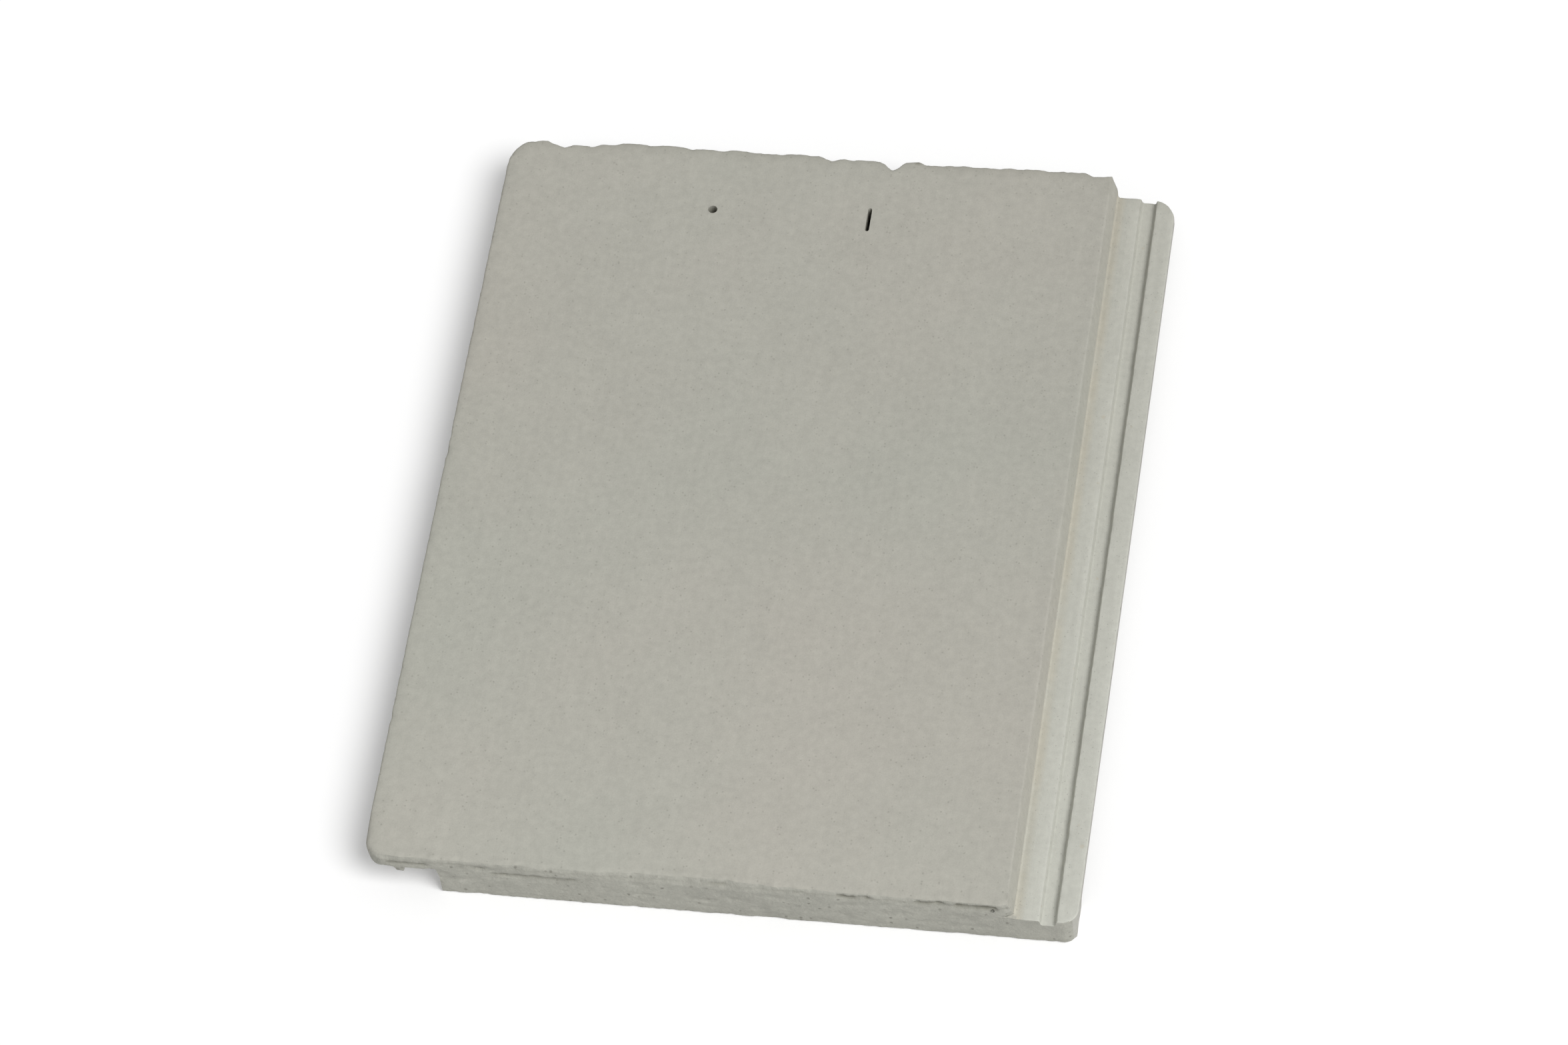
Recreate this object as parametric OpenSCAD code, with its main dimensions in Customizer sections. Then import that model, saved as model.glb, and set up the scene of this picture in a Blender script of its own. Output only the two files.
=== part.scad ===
// Flat interlocking concrete roof tile, moulded in one piece.
// X runs across the tile with the underlock at +X, Y runs up the slope with
// the head at +Y, and Z is up. The tile stands on its nose and its nibs.

/* [Overall size] */
// Length from the butt to the head
tile_l = 420; // [390:1:450]
// Width that one laid tile covers
cover_w = 300; // [280:1:330]
// Width of the underlock beyond the cover width
lap_w = 30; // [29:0.5:36]
// Depth of the tile at its nose, which is its whole height
nose_h = 28; // [27:0.5:32]
// Thickness of the deck between the laps
deck_t = 17; // [15.5:0.5:18]

/* [Edges] */
// Rounding of the top edge along the butt
butt_round = 3; // [1.5:0.5:4]
// Rounding of the top edges along the head and the sides
edge_round = 1.5; // [1:0.25:2.5]
// Length of the roll that eases the top face down to the butt
roll_l = 16; // [12:1:24]
// Depth of that roll at the butt
roll_d = 0.8; // [0.4:0.2:1.6]
// Plan radius of the corner where the overlock meets the head
head_left_r = 18; // [10:1:24]
// Plan radius of the corner where the overlock meets the butt
butt_left_r = 10; // [5:1:16]
// Plan radius of the corner where the underlock meets the head
head_right_r = 12; // [5:1:14]
// Plan radius of the corner where the underlock meets the butt
butt_right_r = 8; // [4:1:12]
// Plan radius of the deck's corners beside the underlock
shoulder_r = 10; // [8:1:12]

/* [Side lap] */
// Gap left between the top faces of two laid tiles
joint_gap = 2; // [1:0.5:3]
// Depth of the underlock's shelf below the top face
step_d = 10.5; // [9:0.5:11]
// Sideways lean of the shoulder between the top face and the shelf
shoulder_lean = 3; // [2:0.5:4]
// Width of the underlock's shelf
shelf_w = 11.5; // [10:0.5:12]
// Width of the water channel at its top
channel_w = 8; // [7:0.5:9]
// Depth of the water channel below the shelf
channel_d = 3.5; // [2.5:0.5:4]
// Clearance between the overlock and the underlock it covers
lap_clear = 1.2; // [1:0.1:1.5]
// Thickness of the underlock below its shelf
underlock_t = 9.5; // [9:0.5:10.5]
// Distance the underlock starts below the head
lock_setback = 6; // [4:1:10]

/* [Underside] */
// Thickness of the nose bar along its foot
nose_t = 20; // [15:1:26]
// Number of weather bars behind the nose
bar_count = 2; // [1:1:3]
// Distance between neighbouring weather bars
bar_pitch = 24; // [20:1:30]
// Depth of the weather bars below the deck
bar_d = 7; // [4:0.5:8]
// Width of the weather bars along their foot
bar_t = 7; // [5:0.5:9]
// Width of each nib across the tile
nib_w = 46; // [30:1:60]
// Thickness of each nib along its foot
nib_t = 14; // [10:1:16]
// Distance from the head to the batten face of the nibs
nib_hook = 31; // [28:1:34]
// Distance from the middle of the cover width to the middle of each nib
nib_offset = 88; // [70:1:100]

/* [Nail holes] */
// Diameter of the round nail hole
nail_hole_d = 4.5; // [4:0.5:7]
// Distance from the overlock's edge to the round nail hole
nail_hole_x = 106; // [95:1:115]
// Distance from the head to the middle of both nail holes
nail_y = 38; // [36:1:44]
// Width of the nail slot
slot_w = 2; // [1.5:0.5:5]
// Length of the nail slot up the slope
slot_l = 14; // [10:1:18]
// Distance from the overlock's edge to the middle of the nail slot
slot_x = 183; // [170:1:200]

/* [Hidden] */
concrete = "#aeaca0";
$fn = 48;
// Facets in each rounded corner of an outline
round_steps = 4;
// Overlap that joins two parts of the casting
bite = 1;
// Sideways lean of the moulded ribs, which lets the tile leave its mould
draft = 1;
// Small rounding of the hidden edges
soft = 1;

overall_w = cover_w + lap_w;
left = -overall_w / 2;
right = overall_w / 2;
butt = -tile_l / 2;
head = tile_l / 2;
top_w = cover_w - joint_gap;
deck_z = nose_h - deck_t;

// The underlock's stations across the tile and its levels
shelf_start = top_w + shoulder_lean;
shelf_end = shelf_start + shelf_w;
channel_end = shelf_end + channel_w;
shelf_z = nose_h - step_d;
channel_z = shelf_z - channel_d;
underlock_z = shelf_z - underlock_t;
rim_start = top_w - 10;

// The overlock's stations, each in its place over the neighbour's underlock
overlock_w = lap_w + 3 * lap_clear;
overlock_z = shelf_z + lap_clear;
tongue_start = shelf_end - cover_w + lap_clear;
tongue_end = channel_end - cover_w - lap_clear;
tongue_z = channel_z + lap_clear;
tip_z = nose_h - step_d / 2;

// Middle of the cover width, and of the nibs on each side of it
cover_mid = left + cover_w / 2;
nib_y = head - nib_hook;

function unit(v) = v / norm(v);
function spot(p) = [p[0], p[1]];
function near_turn(a) = a > 180 ? a - 360 : a < -180 ? a + 360 : a;

// Points of the arc of radius r that rounds corner b between a and c
function corner_arc(a, b, c, r) =
    let (
        to_a = unit(a - b),
        to_c = unit(c - b),
        half = acos(to_a * to_c) / 2,
        start = b + to_a * r / tan(half),
        end = b + to_c * r / tan(half),
        centre = b + unit(to_a + to_c) * r / sin(half),
        from = atan2(start[1] - centre[1], start[0] - centre[0]),
        to = atan2(end[1] - centre[1], end[0] - centre[0]),
        turn = near_turn(to - from)
    )
    [for (k = [0:round_steps])
        centre + r * [cos(from + turn * k / round_steps), sin(from + turn * k / round_steps)]];

// An outline whose corners are given as [x, y, radius], with zero for sharp
function rounded(corners) =
    let (n = len(corners))
    [for (i = [0:n - 1])
        let (
            before = spot(corners[(i + n - 1) % n]),
            here = spot(corners[i]),
            after = spot(corners[(i + 1) % n]),
            r = corners[i][2]
        )
        each (r > 0 ? corner_arc(before, here, after, r) : [here])];

// Cross-section of the tile from the overlock to the underlock
module lap_section() {
    polygon(rounded([
        [0, nose_h, 0],
        [0, tip_z, soft],
        [shoulder_lean, overlock_z, soft],
        [tongue_start, overlock_z, 0],
        [tongue_start + draft, tongue_z, soft],
        [tongue_end - draft, tongue_z, soft],
        [tongue_end, overlock_z, 0],
        [overlock_w, overlock_z, soft],
        [overlock_w + draft, deck_z, soft],
        [rim_start, deck_z, soft],
        [rim_start + deck_z - underlock_z, underlock_z, soft],
        [overall_w - draft, underlock_z, soft],
        [overall_w, shelf_z - underlock_t / 2, soft],
        [overall_w, shelf_z, soft],
        [channel_end, shelf_z, soft],
        [channel_end - draft, channel_z, soft],
        [shelf_end + draft, channel_z, soft],
        [shelf_end, shelf_z, soft],
        [shelf_start, shelf_z, soft],
        [top_w, nose_h, edge_round]
    ]));
}

module lap_slab() {
    translate([left, 0, 0])
        rotate([90, 0, 0])
            linear_extrude(height = tile_l, center = true)
                lap_section();
}

// A bar across the tile with a foot at foot_z and leaning sides,
// whose foot runs from y0 to y1 and whose length runs from x0 to x1
module cross_bar(x0, x1, y0, y1, foot_z, lean0, lean1) {
    rise = deck_z - foot_z;
    translate([x0, 0, 0])
        rotate([90, 0, 90])
            linear_extrude(height = x1 - x0)
                polygon(rounded([
                    [y0, foot_z, soft],
                    [y1, foot_z, soft],
                    [y1 + lean1 * rise, deck_z, 0],
                    [y1 + lean1 * rise, deck_z + bite, 0],
                    [y0 - lean0 * rise, deck_z + bite, 0],
                    [y0 - lean0 * rise, deck_z, 0]
                ]));
}

module nose_bar() {
    cross_bar(left + overlock_w + draft, right - draft, butt, butt + nose_t, 0, 0, 0.6);
}

module weather_bars() {
    for (k = [1:bar_count])
        cross_bar(left + overlock_w + 12, left + rim_start - 6,
            butt + nose_t + k * bar_pitch - bar_t / 2,
            butt + nose_t + k * bar_pitch + bar_t / 2,
            deck_z - bar_d, 0.3, 0.3);
}

module nibs() {
    for (side = [-1, 1])
        cross_bar(cover_mid + side * nib_offset - nib_w / 2,
            cover_mid + side * nib_offset + nib_w / 2,
            nib_y, nib_y + nib_t, 0, 0, 0.5);
}

// An upright post with a rounded rim, which gives a block its corner
module corner_post(x, y, top_z, r, rim) {
    translate([x, y, 0])
        rotate_extrude($fn = 32)
            polygon(rounded([[0, 0, 0], [r, 0, 0], [r, top_z, rim], [0, top_z, 0]]));
}

// Space that the deck fills, clear of its shoulder: the top face eases down to the butt
module deck_limit() {
    edge = left + shelf_start + butt_round;
    hull() {
        corner_post(left + butt_left_r, butt + butt_left_r, nose_h - roll_d, butt_left_r, butt_round);
        corner_post(edge - shoulder_r, butt + shoulder_r, nose_h - roll_d, shoulder_r, butt_round);
        for (x = [left + butt_left_r, edge - butt_left_r])
            corner_post(x, butt + roll_l + butt_left_r, nose_h, butt_left_r, edge_round);
        corner_post(edge - shoulder_r, head - shoulder_r, nose_h, shoulder_r, edge_round);
        corner_post(left + head_left_r, head - head_left_r, nose_h, head_left_r, edge_round);
    }
}

// Space that the underlock fills beside the deck
module underlock_limit() {
    hull() {
        for (y = [butt + soft, head - lock_setback - soft])
            corner_post(left + rim_start + soft, y, shelf_z, soft, 0);
        corner_post(right - butt_right_r, butt + butt_right_r, shelf_z, butt_right_r, soft);
        corner_post(right - head_right_r, head - lock_setback - head_right_r, shelf_z,
            head_right_r, soft);
    }
}

// Cut that starts the underlock below the head
module lock_start() {
    translate([left + shelf_start, head - lock_setback, -bite])
        cube([lap_w, lock_setback + bite, nose_h + 2 * bite]);
}

module nail_hole() {
    translate([left + nail_hole_x, head - nail_y, deck_z - bite])
        cylinder(d = nail_hole_d, h = deck_t + 2 * bite);
}

module nail_slot() {
    straight = slot_l - slot_w;
    translate([left + slot_x, head - nail_y, deck_z - bite]) {
        translate([-slot_w / 2, -straight / 2, 0])
            cube([slot_w, straight, deck_t + 2 * bite]);
        for (end = [-1, 1])
            translate([0, end * straight / 2, 0])
                cylinder(d = slot_w, h = deck_t + 2 * bite);
    }
}

module roof_tile() {
    color(concrete)
        difference() {
            intersection() {
                union() {
                    lap_slab();
                    nose_bar();
                    weather_bars();
                    nibs();
                }
                union() {
                    deck_limit();
                    underlock_limit();
                }
            }
            lock_start();
            nail_hole();
            nail_slot();
        }
}

roof_tile();
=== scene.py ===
"""Finish of a flat interlocking concrete roof tile, laid on a pale floor in soft light."""
import math
from collections import namedtuple

import bmesh
import bpy
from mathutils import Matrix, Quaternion, Vector, noise
from mathutils.kdtree import KDTree


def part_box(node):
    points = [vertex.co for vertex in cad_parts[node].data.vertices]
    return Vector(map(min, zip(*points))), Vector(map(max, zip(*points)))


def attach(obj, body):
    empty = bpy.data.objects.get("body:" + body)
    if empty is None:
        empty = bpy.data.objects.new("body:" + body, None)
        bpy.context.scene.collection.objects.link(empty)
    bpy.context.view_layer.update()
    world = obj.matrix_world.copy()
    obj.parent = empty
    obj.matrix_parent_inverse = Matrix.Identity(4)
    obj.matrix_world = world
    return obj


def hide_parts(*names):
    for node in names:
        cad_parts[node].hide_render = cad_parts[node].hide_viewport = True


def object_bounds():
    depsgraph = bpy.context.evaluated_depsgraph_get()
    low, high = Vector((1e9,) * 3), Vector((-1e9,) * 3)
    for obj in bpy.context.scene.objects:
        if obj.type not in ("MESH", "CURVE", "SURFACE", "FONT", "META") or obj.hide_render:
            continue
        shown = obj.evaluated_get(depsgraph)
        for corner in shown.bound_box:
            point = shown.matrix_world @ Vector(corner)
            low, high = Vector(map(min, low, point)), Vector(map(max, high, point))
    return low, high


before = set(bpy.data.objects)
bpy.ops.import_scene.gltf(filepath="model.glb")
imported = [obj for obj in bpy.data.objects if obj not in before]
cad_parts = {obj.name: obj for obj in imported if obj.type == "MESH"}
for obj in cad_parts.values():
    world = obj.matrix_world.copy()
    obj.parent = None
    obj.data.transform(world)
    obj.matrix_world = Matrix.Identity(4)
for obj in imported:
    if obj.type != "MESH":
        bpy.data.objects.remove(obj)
CAD_LOW, CAD_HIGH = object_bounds()
MM = 0.001
# Numbers of the three axes
ACROSS, UP_SLOPE, UPRIGHT = range(3)

# The tile's own levels and stations, as the solid has them
TILE_LOW, TILE_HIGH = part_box("roof_tile")
BUTT, HEAD = TILE_LOW.y, TILE_HIGH.y
OVERLOCK_EDGE, UNDERLOCK_EDGE = TILE_LOW.x, TILE_HIGH.x
FLOOR, TOP = TILE_LOW.z, TILE_HIGH.z
TOP_FACE_EDGE = OVERLOCK_EDGE + 298 * MM
SHELF_START = OVERLOCK_EDGE + 301 * MM
CHANNEL_END = OVERLOCK_EDGE + 320.5 * MM
SHELF = TOP - 10.5 * MM
SOFFIT = TOP - 17 * MM

# Nail openings, which stay as they were punched: the places and sizes of the round hole and the
# slot, and a margin round each that counts as part of it
NAIL_ROW = HEAD - 38 * MM
ROUND_HOLE = OVERLOCK_EDGE + 106 * MM
HOLE_RADIUS = 2.25 * MM
SLOT = OVERLOCK_EDGE + 183 * MM
SLOT_HALF_WIDTH = 1 * MM
SLOT_HALF_LENGTH = 7 * MM
OPENING_MARGIN = 0.5 * MM
# Rim of an opening that no shadow darkens, and the depth over which the shadow gathers
CLEAN_RIM = 0.4 * MM
SHADOW_DEPTH = 2.5 * MM

# Distance within which two points of the skin are one, within which a point lies on a cut,
# and below which an edge is closed up
WELD = 0.002 * MM
ON_CUT = 0.001 * MM
SLIVER = 0.1 * MM
# Bend within which neighbouring facets are one flat face
FLAT_BEND = math.radians(0.3)

# Spacing of the cuts that give the faces, the sides and the ends of the casting their fine
# surface, and how far the ends reach along the tile
FACE_CELL = 4 * MM
SIDE_CELL = 1.5 * MM
END_CELL = 0.9 * MM
END_DEPTH = 3.6 * MM
# Lengths from which an edge of a side or of an end is halved, and how many times over
LONG_SIDE_EDGE = 1.5 * SIDE_CELL
LONG_END_EDGE = 1.4 * END_CELL
HALVINGS = 3

# Bend from which an outer edge counts as an arris, and how far its wear reaches from it
ARRIS_BEND = math.radians(14)
RIM_REACH = 6 * MM
# Bend beyond which an edge of the casting is shaded as a crisp one
CREASE = math.radians(62)
# Bend beyond which worn skin has folded over itself, and how often it is eased
FOLD_BEND = math.radians(120)
EASINGS = 8
# Where the lap's own, lighter wear begins, just beyond the shoulder's arris
LAP_START = TOP_FACE_EDGE + 4 * MM

# Stretches where the top arris of the head or the butt broke away while the mix was green:
# between two distances from the overlock, with the depths of overlapping chips added up
Chip = namedtuple("Chip", "start end depth")
HEAD_CHIPS = (
    Chip(start=8 * MM, end=56 * MM, depth=1.6 * MM),
    Chip(start=18 * MM, end=45 * MM, depth=1.9 * MM),
    Chip(start=23 * MM, end=31 * MM, depth=1.6 * MM),
    Chip(start=87 * MM, end=110 * MM, depth=0.8 * MM),
    Chip(start=117 * MM, end=139 * MM, depth=0.8 * MM),
    Chip(start=153 * MM, end=196 * MM, depth=1.1 * MM),
    Chip(start=156 * MM, end=164 * MM, depth=1.6 * MM),
    Chip(start=184 * MM, end=197 * MM, depth=2.4 * MM),
    Chip(start=186.5 * MM, end=194.5 * MM, depth=2.6 * MM),
    Chip(start=203 * MM, end=247 * MM, depth=0.7 * MM),
    Chip(start=203 * MM, end=218 * MM, depth=1.0 * MM),
    Chip(start=285 * MM, end=298 * MM, depth=1.8 * MM),
)
BUTT_CHIPS = (
    Chip(start=110 * MM, end=192 * MM, depth=1.0 * MM),
    Chip(start=123 * MM, end=173 * MM, depth=1.1 * MM),
    Chip(start=192 * MM, end=217 * MM, depth=0.5 * MM),
)
# How far in from its two sides a chip reaches its depth, and how far the chips reach along the tile
# and down the end face
CHIP_FLANK = 3.5 * MM
CHIP_REACH = 12 * MM
HEAD_CHIP_HEIGHT = 9 * MM
BUTT_CHIP_HEIGHT = 5 * MM
# Depth of the raggedness that the whole arris has beside its chips
RAGGED_DEPTH = 0.9 * MM
# Middle of the painted shadow of a small pit in the head's top arris, and its radius
HEAD_PIT_SHADOW = Vector((OVERLOCK_EDGE + 202.5 * MM, HEAD - 1 * MM, TOP))
PIT_SHADOW_RADIUS = 1.8 * MM

# Stretches of the butt where the blade tore the mix: between two distances from the overlock,
# at a depth below the top face, with half its height, from 0 for smooth to 1 for a full tear
# Each tear is cut into the butt and also darkened with painted shade.
Tear = namedtuple("Tear", "start end below half_height share")
BUTT_TEARS = (
    Tear(start=9 * MM, end=31 * MM, below=6.0 * MM, half_height=0.8 * MM, share=0.9),
    Tear(start=44 * MM, end=58 * MM, below=5.5 * MM, half_height=0.9 * MM, share=0.6),
    Tear(start=58 * MM, end=101 * MM, below=9.0 * MM, half_height=1.1 * MM, share=0.8),
    Tear(start=111 * MM, end=124 * MM, below=3.6 * MM, half_height=0.8 * MM, share=0.3),
    Tear(start=158 * MM, end=171 * MM, below=3.6 * MM, half_height=0.8 * MM, share=0.6),
    Tear(start=188 * MM, end=212 * MM, below=3.8 * MM, half_height=0.8 * MM, share=0.3),
    Tear(start=218 * MM, end=238 * MM, below=4.0 * MM, half_height=1.1 * MM, share=1.0),
    Tear(start=254 * MM, end=271 * MM, below=3.8 * MM, half_height=1.1 * MM, share=1.0),
    Tear(start=272 * MM, end=296 * MM, below=4.2 * MM, half_height=1.5 * MM, share=1.2),
)
# How far in from its two ends a tear reaches its full share
TEAR_FLANK = 3 * MM
# The faint line that the blade left along the whole butt, a shallow groove with painted shade in it
FAINT_LINE_BELOW = 4 * MM
FAINT_LINE_HALF_HEIGHT = 0.8 * MM
FAINT_LINE_SHARE = 0.15
# Depths of a full tear, of the ledges and of the crumbs in the cut face of the butt
TEAR_DEPTH = 1.5 * MM
LEDGE_DEPTH = 0.8 * MM
CRUMB_DEPTH = 0.25 * MM
# How far this relief reaches up the tile, and over what width it fades out before the underlock
CUT_REACH = 3.4 * MM
CUT_FADE = 3 * MM

# Finishes of the casting's faces, in the order of its materials
TOP_FINISH, LAP_FINISH, CUT_FINISH, UNDERSIDE_FINISH = range(4)


# ---------------------------------------------------------------- the casting

def welded_copy(node):
    """The solid's mesh as one closed skin, with each flat face whole again."""
    skin = bmesh.new()
    skin.from_mesh(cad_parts[node].data)
    bmesh.ops.remove_doubles(skin, verts=skin.verts, dist=WELD)
    bmesh.ops.dissolve_limit(skin, angle_limit=FLAT_BEND, verts=skin.verts, edges=skin.edges)
    return skin


def cut_across(skin, faces, axis, places):
    """Cuts some faces by planes across one axis."""
    geometry = list({part for face in faces for part in (*face.verts, *face.edges, face)})
    for place in places:
        point, normal = Vector(), Vector()
        point[axis] = place
        normal[axis] = 1
        cut = bmesh.ops.bisect_plane(skin, geom=geometry, dist=ON_CUT, plane_co=point, plane_no=normal)
        geometry = cut["geom"]


def steps(low, high, cell):
    """Places between two ends, about one cell apart."""
    count = round((high - low) / cell)
    return [low + (high - low) * k / count for k in range(1, count)]


def at_an_end(point):
    """Whether a point lies within END_DEPTH of the butt or the head."""
    slack = 0.01 * MM
    return abs(point.y) > HEAD - END_DEPTH - slack


def cut_into_cells(skin):
    """Cuts the faces into even cells, with finer rings round the butt and the head."""
    for end, inward in ((BUTT, 1), (HEAD, -1)):
        rings = [end + inward * k * END_CELL for k in range(1, round(END_DEPTH / END_CELL) + 1)]
        cut_across(skin, skin.faces[:], UP_SLOPE, rings)
    ends = [face for face in skin.faces if at_an_end(face.calc_center_median())]
    cut_across(skin, ends, UPRIGHT, steps(FLOOR, TOP, END_CELL))
    cut_across(skin, skin.faces[:], ACROSS, steps(OVERLOCK_EDGE, UNDERLOCK_EDGE, FACE_CELL))
    cut_across(skin, skin.faces[:], UP_SLOPE, steps(BUTT + END_DEPTH, HEAD - END_DEPTH, FACE_CELL))
    bmesh.ops.dissolve_degenerate(skin, dist=SLIVER, edges=skin.edges)


def is_broad(face):
    """Whether a face lies in the flat top, soffit or shelf."""
    return abs(face.normal.z) > 0.995


def on_side(edge):
    """Whether an edge borders a side or a rim, and not only broad faces."""
    return not all(is_broad(face) for face in edge.link_faces)


def on_end(edge):
    """Whether an edge lies round the butt or the head."""
    return all(at_an_end(vert.co) for vert in edge.verts)


def halve_long_edges(skin, belongs, longest):
    """Halves the edges of one region that are longer than that, as often as HALVINGS says."""
    for _ in range(HALVINGS):
        skin.normal_update()
        long_edges = [edge for edge in skin.edges if edge.calc_length() > longest and belongs(edge)]
        bmesh.ops.subdivide_edges(skin, edges=long_edges, cuts=1, use_grid_fill=True)


def at_opening(point):
    """Whether a point lies on the wall of a nail opening."""
    off_row = abs(point.y - NAIL_ROW)
    in_hole = math.hypot(point.x - ROUND_HOLE, off_row) < HOLE_RADIUS + OPENING_MARGIN
    beside_slot = abs(point.x - SLOT) < SLOT_HALF_WIDTH + OPENING_MARGIN
    return in_hole or (beside_slot and off_row < SLOT_HALF_LENGTH + OPENING_MARGIN)


def is_arris(vert):
    """Whether a vertex lies on a convex edge of the casting, away from the nail openings."""
    sharpest = max((edge.calc_face_angle_signed(0) for edge in vert.link_edges), default=0)
    return sharpest > ARRIS_BEND and not at_opening(vert.co)


def rim_mask(skin):
    """How close each vertex is to an outer arris, from 0 on a face to 1 on the arris."""
    arris = [vert for vert in skin.verts if is_arris(vert)]
    tree = KDTree(len(arris))
    for number, vert in enumerate(arris):
        tree.insert(vert.co, number)
    tree.balance()
    return [max(0, 1 - tree.find(vert.co)[2] / RIM_REACH) for vert in skin.verts]


def rough(point, size, seed, octaves=2):
    """Smooth noise of about that size, between about -1 and 1."""
    return noise.fractal(point / size + Vector((seed, 2 * seed, 3 * seed)), 1.0, 2.0, octaves)


def held(value):
    """A value held between 0 and 1."""
    return min(1, max(0, value))


def bell(distance, half_width):
    """One at no distance, falling smoothly to nothing a few half-widths away."""
    return math.exp(-(distance / half_width) ** 2)


def face_wave(point, normal):
    """Slow waves that the smoothing roller leaves in the top, and the mould's own small unevenness."""
    depth = 0.04 * MM * (1 + rough(point, size=9 * MM, seed=5))
    if normal.z > 0.9:
        depth += 0.10 * MM * (1 + rough(point, size=45 * MM, seed=3))
    return depth


def arris_wear(point, rim):
    """Crumbs and small chips lost from an outer arris."""
    crumbs = max(0, rough(point, size=3.5 * MM, seed=7) + 0.25)
    chips = max(0, rough(point, size=13 * MM, seed=11, octaves=3) - 0.45)
    chip_size = (0.4 if point.x > LAP_START else 1.4) * MM
    return rim ** 4 * (0.30 * MM * crumbs + chip_size * chips)


def chip_depth(point, chips, from_end, height):
    """Depth of the ragged arris at the head or the butt, at some distance from that end."""
    along = Vector((point.x, 0, 0))
    across = point.x - OVERLOCK_EDGE
    depth = RAGGED_DEPTH * max(0, 0.2 + rough(along, size=9 * MM, seed=23, octaves=3))
    for chip in chips:
        depth += chip.depth * held(min(across - chip.start, chip.end - across) / CHIP_FLANK)
    down_the_face = (TOP - point.z) / height
    return depth * max(0, 1 - down_the_face) ** 0.5 * max(0, 1 - from_end / CHIP_REACH)


def torn_lip(point):
    """How far a point of the butt lies in a groove torn below its top arris, from 0 to about 1."""
    along = Vector((point.x, 0, 0))
    across = point.x - OVERLOCK_EDGE
    wander = 0.7 * MM * rough(along, size=14 * MM, seed=29)
    broken = held(0.8 + 1.2 * rough(along, size=7 * MM, seed=31, octaves=3))
    deepest = FAINT_LINE_SHARE * bell(point.z - TOP + FAINT_LINE_BELOW + wander, FAINT_LINE_HALF_HEIGHT)
    for tear in BUTT_TEARS:
        inside = held(min(across - tear.start, tear.end - across) / TEAR_FLANK)
        line = bell(point.z - TOP + tear.below + wander, tear.half_height)
        deepest = max(deepest, tear.share * broken * inside * line)
    return deepest


def nail_opening_share(point):
    """How deep inside a nail opening a point lies, from 0 at the faces of the deck to 1."""
    depth = min(TOP - CLEAN_RIM - point.z, point.z - SOFFIT - CLEAN_RIM) / SHADOW_DEPTH
    return held(depth) if at_opening(point) else 0


def head_arris_shade(point, rim):
    """How much dust and painted shade the broken arris of the head gets, with the painted shadow of its
    pit, from 0 to 1.
    """
    if point.y < HEAD - CHIP_REACH or point.z < SOFFIT:
        return 0
    in_pit_shadow = max(0, 1 - (point - HEAD_PIT_SHADOW).length / PIT_SHADOW_RADIUS)
    return 0.2 * rim ** 2 + 0.8 * in_pit_shadow ** 0.5


def cut_face_depth(point):
    """Relief of the butt, which a blade cut while the mix was green."""
    layered = Vector((point.x, 3 * point.z, 0))
    ledge = max(0, rough(layered, size=15 * MM, seed=17, octaves=3))
    crumb = 0.5 + 0.5 * rough(point, size=3.5 * MM, seed=13, octaves=3)
    return TEAR_DEPTH * torn_lip(point) + LEDGE_DEPTH * ledge + CRUMB_DEPTH * crumb


def butt_share(point):
    """How fully a point belongs to the cut butt, from 0 to 1."""
    up_the_tile = (point.y - BUTT) / CUT_REACH
    short_of_lap = (LAP_START - point.x) / CUT_FADE
    return max(0, 1 - up_the_tile) * held(short_of_lap)


def worn_place(vert, rim):
    """Where a vertex comes to lie once the casting is worn: the nail openings stay as punched."""
    point, normal = vert.co, vert.normal
    if at_opening(point):
        return point.copy()
    place = point - normal * (face_wave(point, normal) + arris_wear(point, rim))
    if point.y > HEAD - CHIP_REACH:
        place.y -= chip_depth(point, HEAD_CHIPS, HEAD - point.y, HEAD_CHIP_HEIGHT)
    if point.y < BUTT + CHIP_REACH:
        place.y += chip_depth(point, BUTT_CHIPS, point.y - BUTT, BUTT_CHIP_HEIGHT)
    on_butt = butt_share(point)
    if on_butt:
        place.y += on_butt * cut_face_depth(point)
    return Vector(min(high, max(low, value)) for low, high, value in zip(TILE_LOW, TILE_HIGH, place))


def weather(skin):
    """Wears the skin inwards, and notes how close each vertex is to an arris and how much dust and
    painted shade it gets.
    """
    rim_layer = skin.verts.layers.float.new("rim")
    painted_shade_layer = skin.verts.layers.float.new("groove")
    skin.normal_update()
    mask = rim_mask(skin)
    places = [worn_place(vert, rim) for vert, rim in zip(skin.verts, mask)]
    for vert, rim, place in zip(skin.verts, mask, places):
        vert[rim_layer] = rim
        # Dust and painted shade in the butt's torn groove and at the head's broken arris, painted shade
        # inside the nail openings, and the painted shadow of the head's pit
        shade = torn_lip(vert.co) * butt_share(vert.co) + nail_opening_share(vert.co)
        vert[painted_shade_layer] = shade + head_arris_shade(vert.co, rim)
        vert.co = place


def ease_folds(skin):
    """Smooths the few vertices where the wear has folded the skin over itself."""
    for _ in range(EASINGS):
        folded = {
            vert for edge in skin.edges if edge.calc_face_angle(0) > FOLD_BEND
            for vert in edge.verts if not at_opening(vert.co)
        }
        bmesh.ops.smooth_vert(skin, verts=list(folded), factor=0.5,
                              use_axis_x=True, use_axis_y=True, use_axis_z=True)


def finish_of(face):
    """Which finish a face has."""
    centre, normal = face.calc_center_median(), face.normal
    beside_deck = centre.x > SHELF_START - 0.3 * MM
    outer_side = centre.x > CHANNEL_END + 0.8 * MM and normal.z < 0.5
    if abs(normal.y) > 0.7 and abs(centre.y) > HEAD - 7 * MM:
        return CUT_FINISH
    if beside_deck and centre.z > SHELF - 6 * MM and not outer_side:
        return LAP_FINISH
    if beside_deck or normal.z < -0.3 or centre.z < SOFFIT - 1 * MM:
        return UNDERSIDE_FINISH
    return TOP_FINISH


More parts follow.
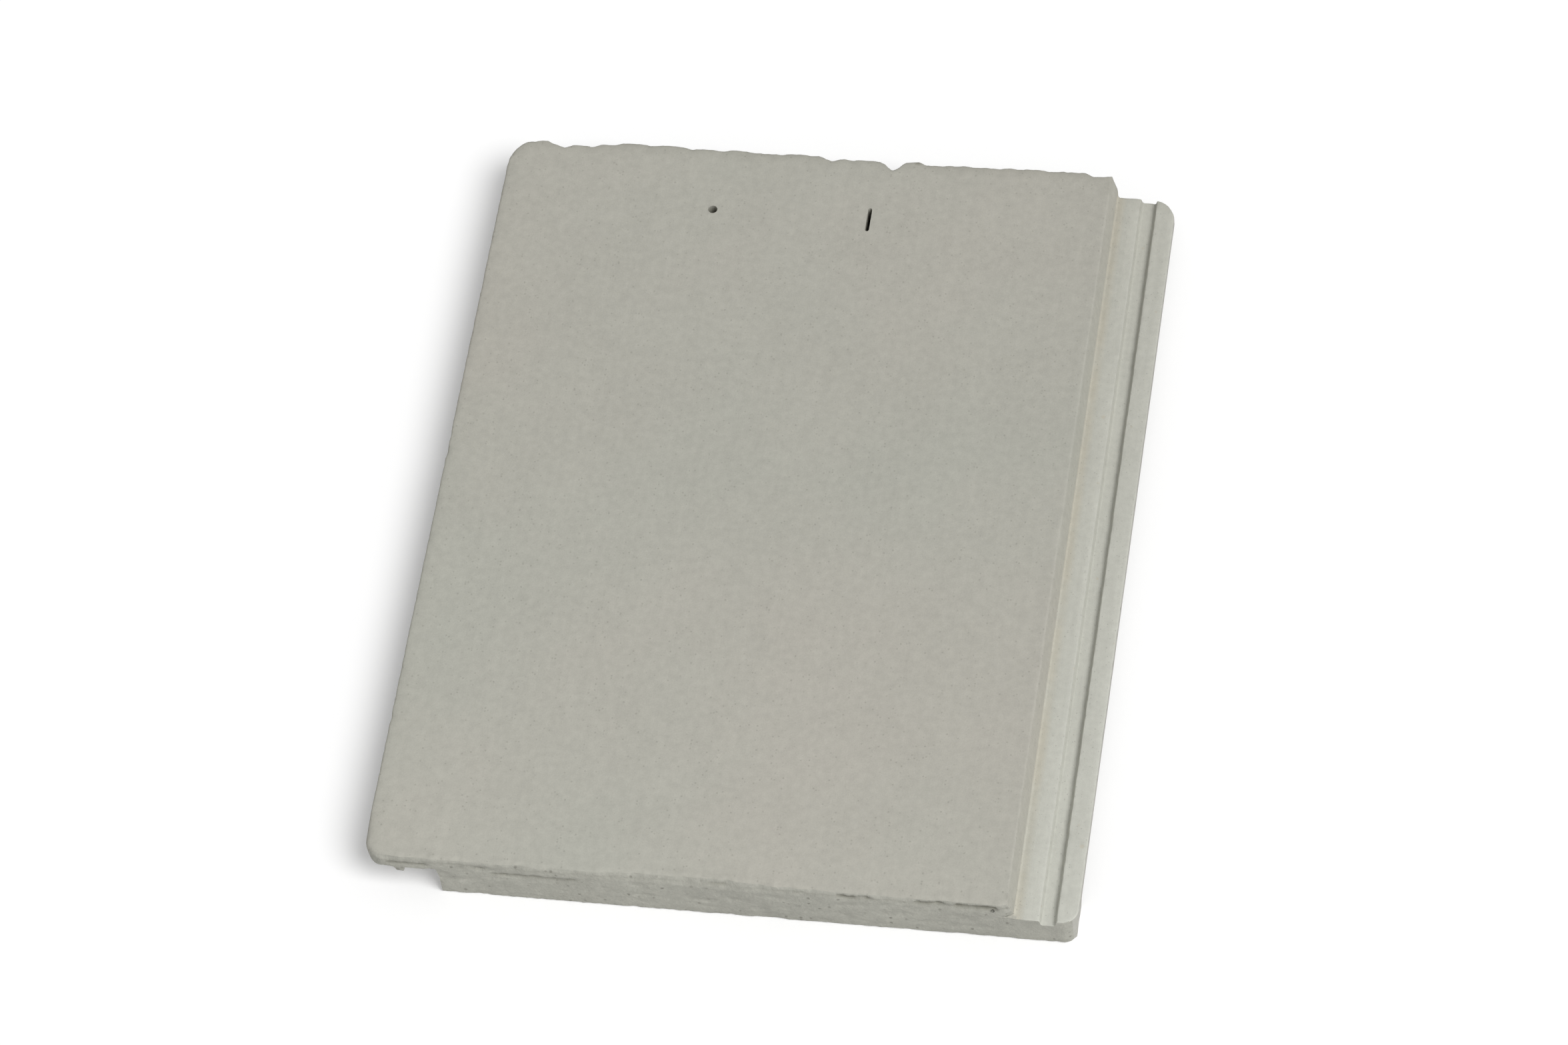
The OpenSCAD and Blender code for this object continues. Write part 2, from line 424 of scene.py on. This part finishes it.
def worn_skin():
    """The skin of the casting: cut finely, given its finishes, worn and creased."""
    skin = welded_copy("roof_tile")
    cut_into_cells(skin)
    halve_long_edges(skin, on_side, LONG_SIDE_EDGE)
    halve_long_edges(skin, on_end, LONG_END_EDGE)
    skin.normal_update()
    for face in skin.faces:
        face.material_index = finish_of(face)
        face.smooth = True
    weather(skin)
    bmesh.ops.triangulate(skin, faces=[face for face in skin.faces if len(face.verts) > 4])
    ease_folds(skin)
    for edge in skin.edges:
        edge.smooth = edge.calc_face_angle(0) < CREASE
    return skin


def cast_tile(materials):
    """Casts the dressed tile, which takes the place of the solid's plain one."""
    skin = worn_skin()
    mesh = bpy.data.meshes.new("roof_tile_cast")
    skin.to_mesh(mesh)
    skin.free()
    for material in materials:
        mesh.materials.append(material)
    tile = bpy.data.objects.new("roof_tile_cast", mesh)
    bpy.context.scene.collection.objects.link(tile)
    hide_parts("roof_tile")
    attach(tile, "root")


# ---------------------------------------------------------------- shader groups

def feed(tree, socket, value):
    """Links an input to another node's output, or sets its value."""
    if isinstance(value, bpy.types.NodeSocket):
        tree.links.new(value, socket)
    else:
        socket.default_value = value


def put(tree, kind, **sockets):
    """Adds a node and feeds its inputs by name, or by number after an underscore."""
    added = tree.nodes.new(kind)
    for name, value in sockets.items():
        socket = added.inputs[int(name[1:])] if name[0] == "_" else added.inputs[name.replace("_", " ")]
        feed(tree, socket, value)
    return added


def reckon(tree, operation, a, b=0.0, c=0.0, clamp=False):
    """A Math node's value."""
    added = put(tree, "ShaderNodeMath", _0=a, _1=b, _2=c)
    added.operation = operation
    added.use_clamp = clamp
    return added.outputs[0]


def spread(tree, value, low, high, to_low=0.0, to_high=1.0):
    """A value mapped from one range to another and held there."""
    added = put(tree, "ShaderNodeMapRange", Value=value, From_Min=low, From_Max=high,
                To_Min=to_low, To_Max=to_high)
    return added.outputs["Result"]


def new_group(name, inputs, outputs):
    """An empty shader group with named number sockets."""
    group = bpy.data.node_groups.new(name, "ShaderNodeTree")
    for label, value in inputs:
        socket = group.interface.new_socket(label, in_out="INPUT", socket_type="NodeSocketFloat")
        socket.default_value = value
    for label in outputs:
        group.interface.new_socket(label, in_out="OUTPUT", socket_type="NodeSocketFloat")
    return group, group.nodes.new("NodeGroupInput"), group.nodes.new("NodeGroupOutput")


def object_place(tree):
    """The place of a point on the object."""
    return put(tree, "ShaderNodeTexCoord").outputs["Object"]


def painted(tree, name):
    """The value of a vertex layer of the casting."""
    layer = tree.nodes.new("ShaderNodeAttribute")
    layer.attribute_name = name
    return layer.outputs["Fac"]


def sand_grain_group():
    """Fine sand in the cement skin: a grey cast, dark grit and its height."""
    group, given, result = new_group("sand_grain", [("Size", 0.8 * MM)], ["Cast", "Grit", "Height"])
    place = object_place(group)
    fineness = reckon(group, "DIVIDE", 1.0, given.outputs["Size"])
    clump_fineness = reckon(group, "MULTIPLY", fineness, 0.22)
    grit_fineness = reckon(group, "MULTIPLY", fineness, 0.6)
    sand = put(group, "ShaderNodeTexNoise", Vector=place, Scale=fineness, Detail=3.0, Roughness=0.65)
    clumps = put(group, "ShaderNodeTexNoise", Vector=place, Scale=clump_fineness, Detail=2.0)
    grit = put(group, "ShaderNodeTexVoronoi", Vector=place, Scale=grit_fineness)
    of_grain = put(group, "ShaderNodeSeparateColor", Color=grit.outputs["Color"])
    dark_ones = spread(group, of_grain.outputs["Red"], 0.90, 0.96)
    rounded = spread(group, grit.outputs["Distance"], 0.45, 0.2)
    both = reckon(group, "MULTIPLY", reckon(group, "ADD", clumps.outputs[0], sand.outputs[0]), 0.5)
    group.links.new(spread(group, both, 0.34, 0.66), result.inputs["Cast"])
    group.links.new(reckon(group, "MULTIPLY", dark_ones, rounded), result.inputs["Grit"])
    group.links.new(sand.outputs[0], result.inputs["Height"])
    return group


def air_holes_group():
    """Small holes that air bubbles leave in a moulded face."""
    group, given, result = new_group("air_holes", [("Spacing", 9 * MM), ("Share", 0.3)], ["Hole"])
    count = reckon(group, "DIVIDE", 1.0, given.outputs["Spacing"])
    bubbles = put(group, "ShaderNodeTexVoronoi", Vector=object_place(group), Scale=count)
    of_bubble = put(group, "ShaderNodeSeparateColor", Color=bubbles.outputs["Color"])
    chosen = reckon(group, "LESS_THAN", of_bubble.outputs["Red"], given.outputs["Share"])
    radius = reckon(group, "MULTIPLY_ADD", of_bubble.outputs["Green"], 0.09, 0.03)
    from_middle = reckon(group, "DIVIDE", bubbles.outputs["Distance"], radius)
    dish = spread(group, from_middle, 1.1, 0.6)
    group.links.new(reckon(group, "MULTIPLY", chosen, dish), result.inputs["Hole"])
    return group


def cement_bloom_group():
    """Cloudy patches where cement paste lies thicker on the face."""
    group, given, result = new_group("cement_bloom", [("Size", 60 * MM)], ["Cloud"])
    scale = reckon(group, "DIVIDE", 1.0, given.outputs["Size"])
    cloud = put(group, "ShaderNodeTexNoise", Vector=object_place(group), Scale=scale, Detail=4.0,
                Roughness=0.55)
    group.links.new(spread(group, cloud.outputs[0], 0.32, 0.68), result.inputs["Cloud"])
    return group


def drawn_lines_group():
    """Faint lines up the slope, drawn by the roller that presses the mix into its mould."""
    group, given, result = new_group("drawn_lines", [("Width", 2.5 * MM)], ["Line"])
    drawn_out = put(group, "ShaderNodeMapping", Vector=object_place(group), Scale=(1.0, 0.02, 1.0))
    scale = reckon(group, "DIVIDE", 1.0, given.outputs["Width"])
    lines = put(group, "ShaderNodeTexNoise", Vector=drawn_out.outputs[0], Scale=scale, Detail=2.0)
    group.links.new(spread(group, lines.outputs[0], 0.3, 0.7), result.inputs["Line"])
    return group


def worn_and_shaded_edges_group():
    """The gain of an arris, part rubbed wear and part painted highlight and shade, and the dust and
    painted shade that grooves and openings hold, as the casting's skin notes them.
    """
    group, given, result = new_group("worn_and_shaded_edges", [("Rubbed", -0.04), ("Dust_And_Shade_Strength", 0.75)], ["Gain", "Dust_And_Shade"])
    gain = reckon(group, "MULTIPLY", painted(group, "rim"), given.outputs["Rubbed"])
    dust_and_shade = reckon(group, "MULTIPLY", painted(group, "groove"), given.outputs["Dust_And_Shade_Strength"])
    group.links.new(gain, result.inputs["Gain"])
    group.links.new(dust_and_shade, result.inputs["Dust_And_Shade"])
    return group


def place_on_tile_group():
    """How far a point lies up the tile, from 0 at the butt to 1 at the head, and near the shoulder."""
    group, _, result = new_group("place_on_tile", [], ["Slope", "Shoulder"])
    parts = put(group, "ShaderNodeSeparateXYZ", Vector=object_place(group))
    slope = spread(group, parts.outputs["Y"], BUTT, HEAD)
    shoulder = spread(group, parts.outputs["X"], SHELF_START + 2 * MM, SHELF_START + 5 * MM, 1.0, 0.0)
    group.links.new(slope, result.inputs["Slope"])
    group.links.new(shoulder, result.inputs["Shoulder"])
    return group


# ---------------------------------------------------------------- materials

# Colours of the grit in the cement skin, of the dust and painted shade in its grooves and openings and of
# the painted shade in its air holes, and what a brown water stain leaves of each of a paste's three
# colours
GRIT = (0.16, 0.155, 0.13, 1)
GROOVE_DUST_AND_SHADE = (0.17, 0.165, 0.13, 1)
AIR_HOLE_SHADE = (0.10, 0.098, 0.085, 1)
STAIN_TINT = (0.95, 0.905, 0.85)


def use_group(tree, group, **values):
    """Adds a shader group, sets its inputs by name and gives its outputs."""
    added = put(tree, "ShaderNodeGroup")
    added.node_tree = group
    for name, value in values.items():
        added.inputs[name].default_value = value
    return added.outputs


def tinted(tree, colour, other, share):
    """A colour mixed towards another by a share."""
    mixed = tree.nodes.new("ShaderNodeMix")
    mixed.data_type = "RGBA"
    feed(tree, mixed.inputs[0], share)
    feed(tree, mixed.inputs[6], colour)
    feed(tree, mixed.inputs[7], other)
    return mixed.outputs[2]


def marked(tree, colour, other, mark, strength):
    """A colour mixed towards another where a mark lies, up to some strength."""
    return tinted(tree, colour, other, reckon(tree, "MULTIPLY", mark, strength))


def centred(tree, value, amount):
    """A value from 0 to 1 turned into a gain around nought of that amount."""
    return reckon(tree, "MULTIPLY_ADD", value, 2 * amount, -amount)


def total(tree, *values):
    """The sum of some values."""
    result = values[0]
    for value in values[1:]:
        result = reckon(tree, "ADD", result, value)
    return result


def brightened(tree, colour, gain):
    """A colour made brighter or darker by a gain around nought."""
    scaled = put(tree, "ShaderNodeVectorMath", _0=colour, _3=reckon(tree, "ADD", gain, 1.0))
    scaled.operation = "SCALE"
    return scaled.outputs[0]


def water_stained(tree, colour, groups, place, cloud, strength):
    """A colour with the brown stain that water leaves at the foot of the shoulder and in flecks."""
    stained = put(tree, "ShaderNodeVectorMath", _0=colour, _1=STAIN_TINT)
    stained.operation = "MULTIPLY"
    fleck = use_group(tree, groups["holes"], Spacing=12 * MM, Share=0.7)["Hole"]
    foot = reckon(tree, "MULTIPLY", place["Shoulder"], spread(tree, cloud, 0.1, 0.6, 0.4, 1.0))
    return marked(tree, colour, stained.outputs[0], reckon(tree, "MAXIMUM", foot, fleck), strength)


def concrete(name, groups, pastes, by_length=False, grain=0.8 * MM, cast_gain=0.07, cloud_gain=0.014,
             line_gain=0.012, slope_gain=-0.065, rim_gain=-0.04, grit_share=0.30, hole_share=0.0,
             stain_share=0.0, bump=0.10 * MM, roughness=0.86):
    """Cured concrete: two pastes, sand, clouds, drawn lines, air holes with painted shade, arrises part
    rubbed and part painted light, dust and painted shade in grooves, and painted light that falls off
    towards the head.
    """
    material = bpy.data.materials.new(name)
    material.use_nodes = True
    tree = material.node_tree
    shader = tree.nodes["Principled BSDF"]
    sand = use_group(tree, groups["sand"], Size=grain)
    hole = use_group(tree, groups["holes"], Spacing=9 * MM, Share=hole_share)["Hole"]
    broad_cloud = use_group(tree, groups["bloom"], Size=210 * MM)["Cloud"]
    cloud = use_group(tree, groups["bloom"], Size=38 * MM)["Cloud"]
    line = use_group(tree, groups["lines"], Width=2.5 * MM)["Line"]
    edges = use_group(tree, groups["edges"], Rubbed=rim_gain)
    place = use_group(tree, groups["place"])

    #     The two pastes, mixed by broad clouds, and on the lap paler towards the butt and darker towards
    #     the head; made lighter and darker by what lies in and on them, by arrises that are part rubbed
    #     wear and part painted highlight and shade, and by painted light that falls off towards the head
    paste = tinted(tree, pastes[0], pastes[1], place["Slope"] if by_length else broad_cloud)
    gain = total(
        tree, centred(tree, sand["Cast"], cast_gain), centred(tree, cloud, cloud_gain),
        centred(tree, line, line_gain), edges["Gain"],
        reckon(tree, "MULTIPLY", spread(tree, place["Slope"], 0.05, 0.65), slope_gain),
    )
    colour = brightened(tree, paste, gain)
    if stain_share:
        colour = water_stained(tree, colour, groups, place, cloud, stain_share)
    colour = marked(tree, colour, GRIT, sand["Grit"], grit_share)
    # Dust and painted shade in the butt's torn groove, the nail openings and the head's broken arris
    colour = tinted(tree, colour, GROOVE_DUST_AND_SHADE, edges["Dust_And_Shade"])
    # Painted shade in the air holes
    colour = marked(tree, colour, AIR_HOLE_SHADE, hole, 0.55)
    tree.links.new(colour, shader.inputs["Base Color"])

    # A matt face, with the height of the sand and the drawn lines and the depth of the air holes
    matt = spread(tree, sand["Cast"], 0.2, 0.8, roughness - 0.06, roughness + 0.06)
    tree.links.new(matt, shader.inputs["Roughness"])
    shader.inputs["Specular IOR Level"].default_value = 0.28
    sand_and_lines = reckon(tree, "MULTIPLY_ADD", line, 0.12, sand["Height"])
    height = reckon(tree, "MULTIPLY_ADD", hole, -3.0, sand_and_lines)
    relief = put(tree, "ShaderNodeBump", Height=height, Distance=bump)
    tree.links.new(relief.outputs["Normal"], shader.inputs["Normal"])
    return material


def tile_materials():
    """The casting's materials, in the order of its finishes."""
    groups = {
        "sand": sand_grain_group(),
        "holes": air_holes_group(),
        "bloom": cement_bloom_group(),
        "lines": drawn_lines_group(),
        "edges": worn_and_shaded_edges_group(),
        "place": place_on_tile_group(),
    }
    cool_paste, warm_paste = (0.426, 0.427, 0.375, 1), (0.442, 0.426, 0.376, 1)
    pale_paste, lap_paste = (0.515, 0.518, 0.465, 1), (0.437, 0.435, 0.387, 1)
    # The cut faces' pastes are darker, partly as the cut face's own tone and partly as painted shade on
    # the ends
    shaded_cut_paste, shaded_damp_paste = (0.41, 0.407, 0.358, 1), (0.385, 0.382, 0.338, 1)
    pallet_paste, milky_paste = (0.42, 0.415, 0.375, 1), (0.47, 0.465, 0.425, 1)
    return [
        concrete("top_concrete", groups, (cool_paste, warm_paste)),
        # The lap: paler towards the butt and darker towards the head, with a painted highlight along its
        # arrises, part rubbed wear
        concrete("lap_concrete", groups, (pale_paste, lap_paste), by_length=True, grain=0.6 * MM,
                 cloud_gain=0.03, line_gain=0.03, slope_gain=0.0, rim_gain=0.05, stain_share=0.9),
        concrete("cut_concrete", groups, (shaded_cut_paste, shaded_damp_paste), grain=1.4 * MM, cast_gain=0.12,
                 cloud_gain=0.05, grit_share=0.6, hole_share=0.12, line_gain=0.0, bump=0.35 * MM),
        concrete("pallet_concrete", groups, (pallet_paste, milky_paste), grain=0.9 * MM,
                 cloud_gain=0.05, hole_share=0.5, roughness=0.78),
    ]


# ---------------------------------------------------------------- floor, light and camera

def background_rays(tree):
    """One where a ray should see the plain background."""
    light_path = tree.nodes.new("ShaderNodeLightPath")
    seen = reckon(tree, "ADD", light_path.outputs["Is Camera Ray"], light_path.outputs["Is Glossy Ray"])
    return reckon(tree, "ADD", seen, light_path.outputs["Is Transmission Ray"], clamp=True)


def lay_floor(half_width=6.0, lift=0.20):
    """Lays a pale matt floor, lifted to white where the background is seen, that keeps the shadow."""
    skin = bmesh.new()
    bmesh.ops.create_grid(skin, x_segments=1, y_segments=1, size=half_width)
    mesh = bpy.data.meshes.new("studio_floor")
    skin.to_mesh(mesh)
    skin.free()
    material = bpy.data.materials.new("pale_floor")
    material.use_nodes = True
    tree = material.node_tree
    shader = tree.nodes["Principled BSDF"]
    shader.inputs["Base Color"].default_value = (0.82, 0.82, 0.82, 1)
    shader.inputs["Roughness"].default_value = 1.0
    shader.inputs["Specular IOR Level"].default_value = 0.0
    shader.inputs["Emission Color"].default_value = (1, 1, 1, 1)
    glow = reckon(tree, "MULTIPLY", background_rays(tree), lift)
    tree.links.new(glow, shader.inputs["Emission Strength"])
    mesh.materials.append(material)
    floor = bpy.data.objects.new("studio_floor", mesh)
    bpy.context.scene.collection.objects.link(floor)


def light_studio(sky_strength=0.40, window_strength=2.36, window_angle=34):
    """Lights the tile by a plain sky and one wide, soft window high on the right of the butt."""
    world = bpy.data.worlds.new("studio_sky")
    bpy.context.scene.world = world
    world.use_nodes = True
    tree = world.node_tree
    sky = tree.nodes["Background"]
    sky.inputs["Color"].default_value = (1, 1, 1, 1)
    strength = spread(tree, background_rays(tree), 0.0, 1.0, to_low=sky_strength, to_high=1.0)
    tree.links.new(strength, sky.inputs["Strength"])
    lamp = bpy.data.lights.new("soft_window", "SUN")
    lamp.angle = math.radians(window_angle)
    lamp.energy = window_strength
    window = bpy.data.objects.new("soft_window", lamp)
    light_runs = Vector((-0.50, 0.32, -0.80))
    window.rotation_mode = "QUATERNION"
    window.rotation_quaternion = light_runs.to_track_quat("-Z", "Y")
    window.location = -2 * light_runs
    bpy.context.scene.collection.objects.link(window)


def place_camera(azimuth=14.7, elevation=54.9, roll=-7.9, distance=3.10, lens=150):
    """Looks at the middle of the tile from the right of its butt, leaning a little."""
    round_by, up_by = math.radians(azimuth), math.radians(elevation)
    level = math.cos(up_by)
    back = Vector((math.sin(round_by) * level, -math.cos(round_by) * level, math.sin(up_by)))
    centre = (CAD_LOW + CAD_HIGH) / 2
    camera = bpy.data.objects.new("camera", bpy.data.cameras.new("camera"))
    camera.data.lens = lens
    camera.data.sensor_width = 36
    camera.location = centre + back * distance
    camera.rotation_mode = "QUATERNION"
    lean = Quaternion((0, 0, 1), math.radians(roll))
    camera.rotation_quaternion = (-back).to_track_quat("-Z", "Y") @ lean
    bpy.context.scene.collection.objects.link(camera)
    bpy.context.scene.camera = camera


bpy.context.scene.view_settings.view_transform = "Standard"
cast_tile(tile_materials())
lay_floor()
light_studio()
place_camera()

bpy.context.view_layer.update()
